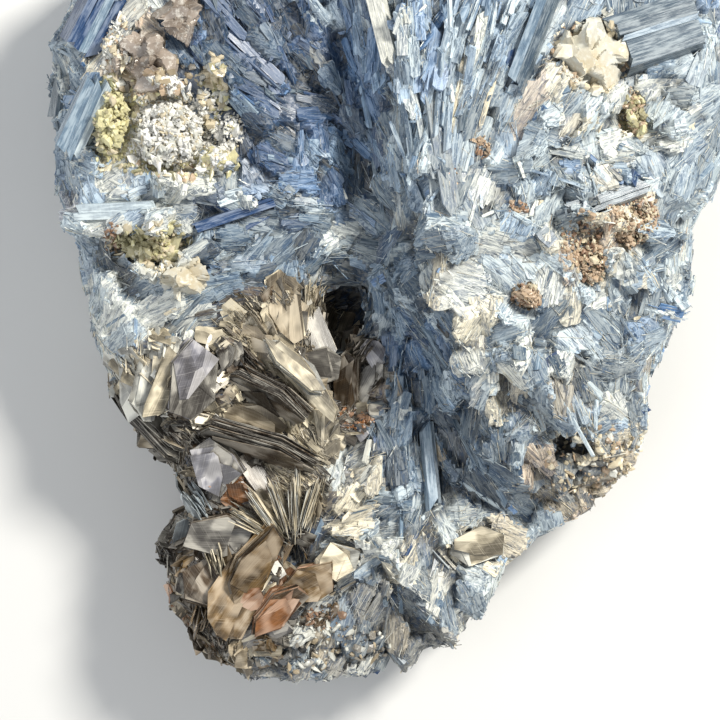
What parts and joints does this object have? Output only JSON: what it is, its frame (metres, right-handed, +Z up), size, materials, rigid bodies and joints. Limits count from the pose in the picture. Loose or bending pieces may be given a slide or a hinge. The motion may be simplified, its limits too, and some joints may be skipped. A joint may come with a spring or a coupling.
{
  "type": "kyanite blade cluster",
  "caption": "Hand specimen of interlocked blue kyanite blades with books of mica, lumps of quartz and crusts of small crystals, lying on its flat underside.",
  "frame": {"origin": "on the surface it lies on, under the middle of its bounding box", "axes": "+Z up out of the broad bladed face, +Y along its length from the narrow mica end to the broad end, +X across it"},
  "size_m": [0.1524, 0.1826, 0.0604],
  "materials": {
    "kyanite": "pearly blades of blue, grey and white",
    "kyanite_deep": "glassy deep blue",
    "kyanite_pale": "silky pale blue",
    "mica_smoky": "glossy smoky brown cleavage sheets",
    "mica_pale": "pearly ivory cleavage sheets",
    "mica_golden": "glossy golden brown cleavage sheets",
    "quartz": "translucent smoky glassy",
    "granular": "sugary white",
    "druse": "small yellow-green crystals",
    "rust": "dull rusty tan"
  },
  "bodies": {
    "root": {"kyanite_blade_crest_dark": "kyanite_deep", "kyanite_blade_banded": "kyanite_deep", "kyanite_blade_spearhead": "kyanite_pale", "kyanite_block_upper_right": "kyanite_deep", "kyanite_block_left_edge": "kyanite_deep", "kyanite_block_left_step": "kyanite_deep", "kyanite_slab_left": "kyanite", "kyanite_blade_lavender": "kyanite_pale", "kyanite_blade_oblique": "kyanite_deep", "kyanite_blade_lower_blue": "kyanite_deep", "mica_book_lavender": "mica_pale", "mica_book_upper_bar": "mica_smoky", "mica_book_lower_bar": "mica_smoky", "mica_book_recess": "mica_smoky", "mica_leaf_ivory": "mica_pale", "mica_leaf_upright": "mica_pale", "mica_plate_grey": "mica_smoky", "mica_plate_brown": "mica_smoky", "mica_book_blue_grey": "mica_smoky", "mica_book_rim": "mica_smoky", "mica_book_lobe_top": "mica_smoky", "mica_plate_golden": "mica_golden", "mica_plate_tan": "mica_golden", "mica_plate_amber": "mica_golden", "mica_plate_honey": "mica_golden", "mica_plate_ivory_cracked": "mica_pale", "mica_plate_pink": "mica_pale", "mica_rosette_leaf_1": "mica_pale", "mica_rosette_leaf_2": "mica_pale", "mica_rosette_leaf_3": "mica_pale", "mica_rosette_leaf_4": "mica_pale", "mica_rosette_leaf_5": "mica_pale", "quartz_smoky_left": "quartz", "quartz_smoky_top": "quartz", "quartz_cream_right": "granular", "quartz_white_nose": "granular", "feldspar_rusty_upper": "rust", "feldspar_rusty_middle": "rust", "feldspar_rusty_lower": "rust", "druse_yellow_left": "druse", "granular_white_left": "granular", "druse_green_pocket": "druse", "druse_yellow_right": "druse", "kyanite_mass": "kyanite"}
  },
  "joints": []
}
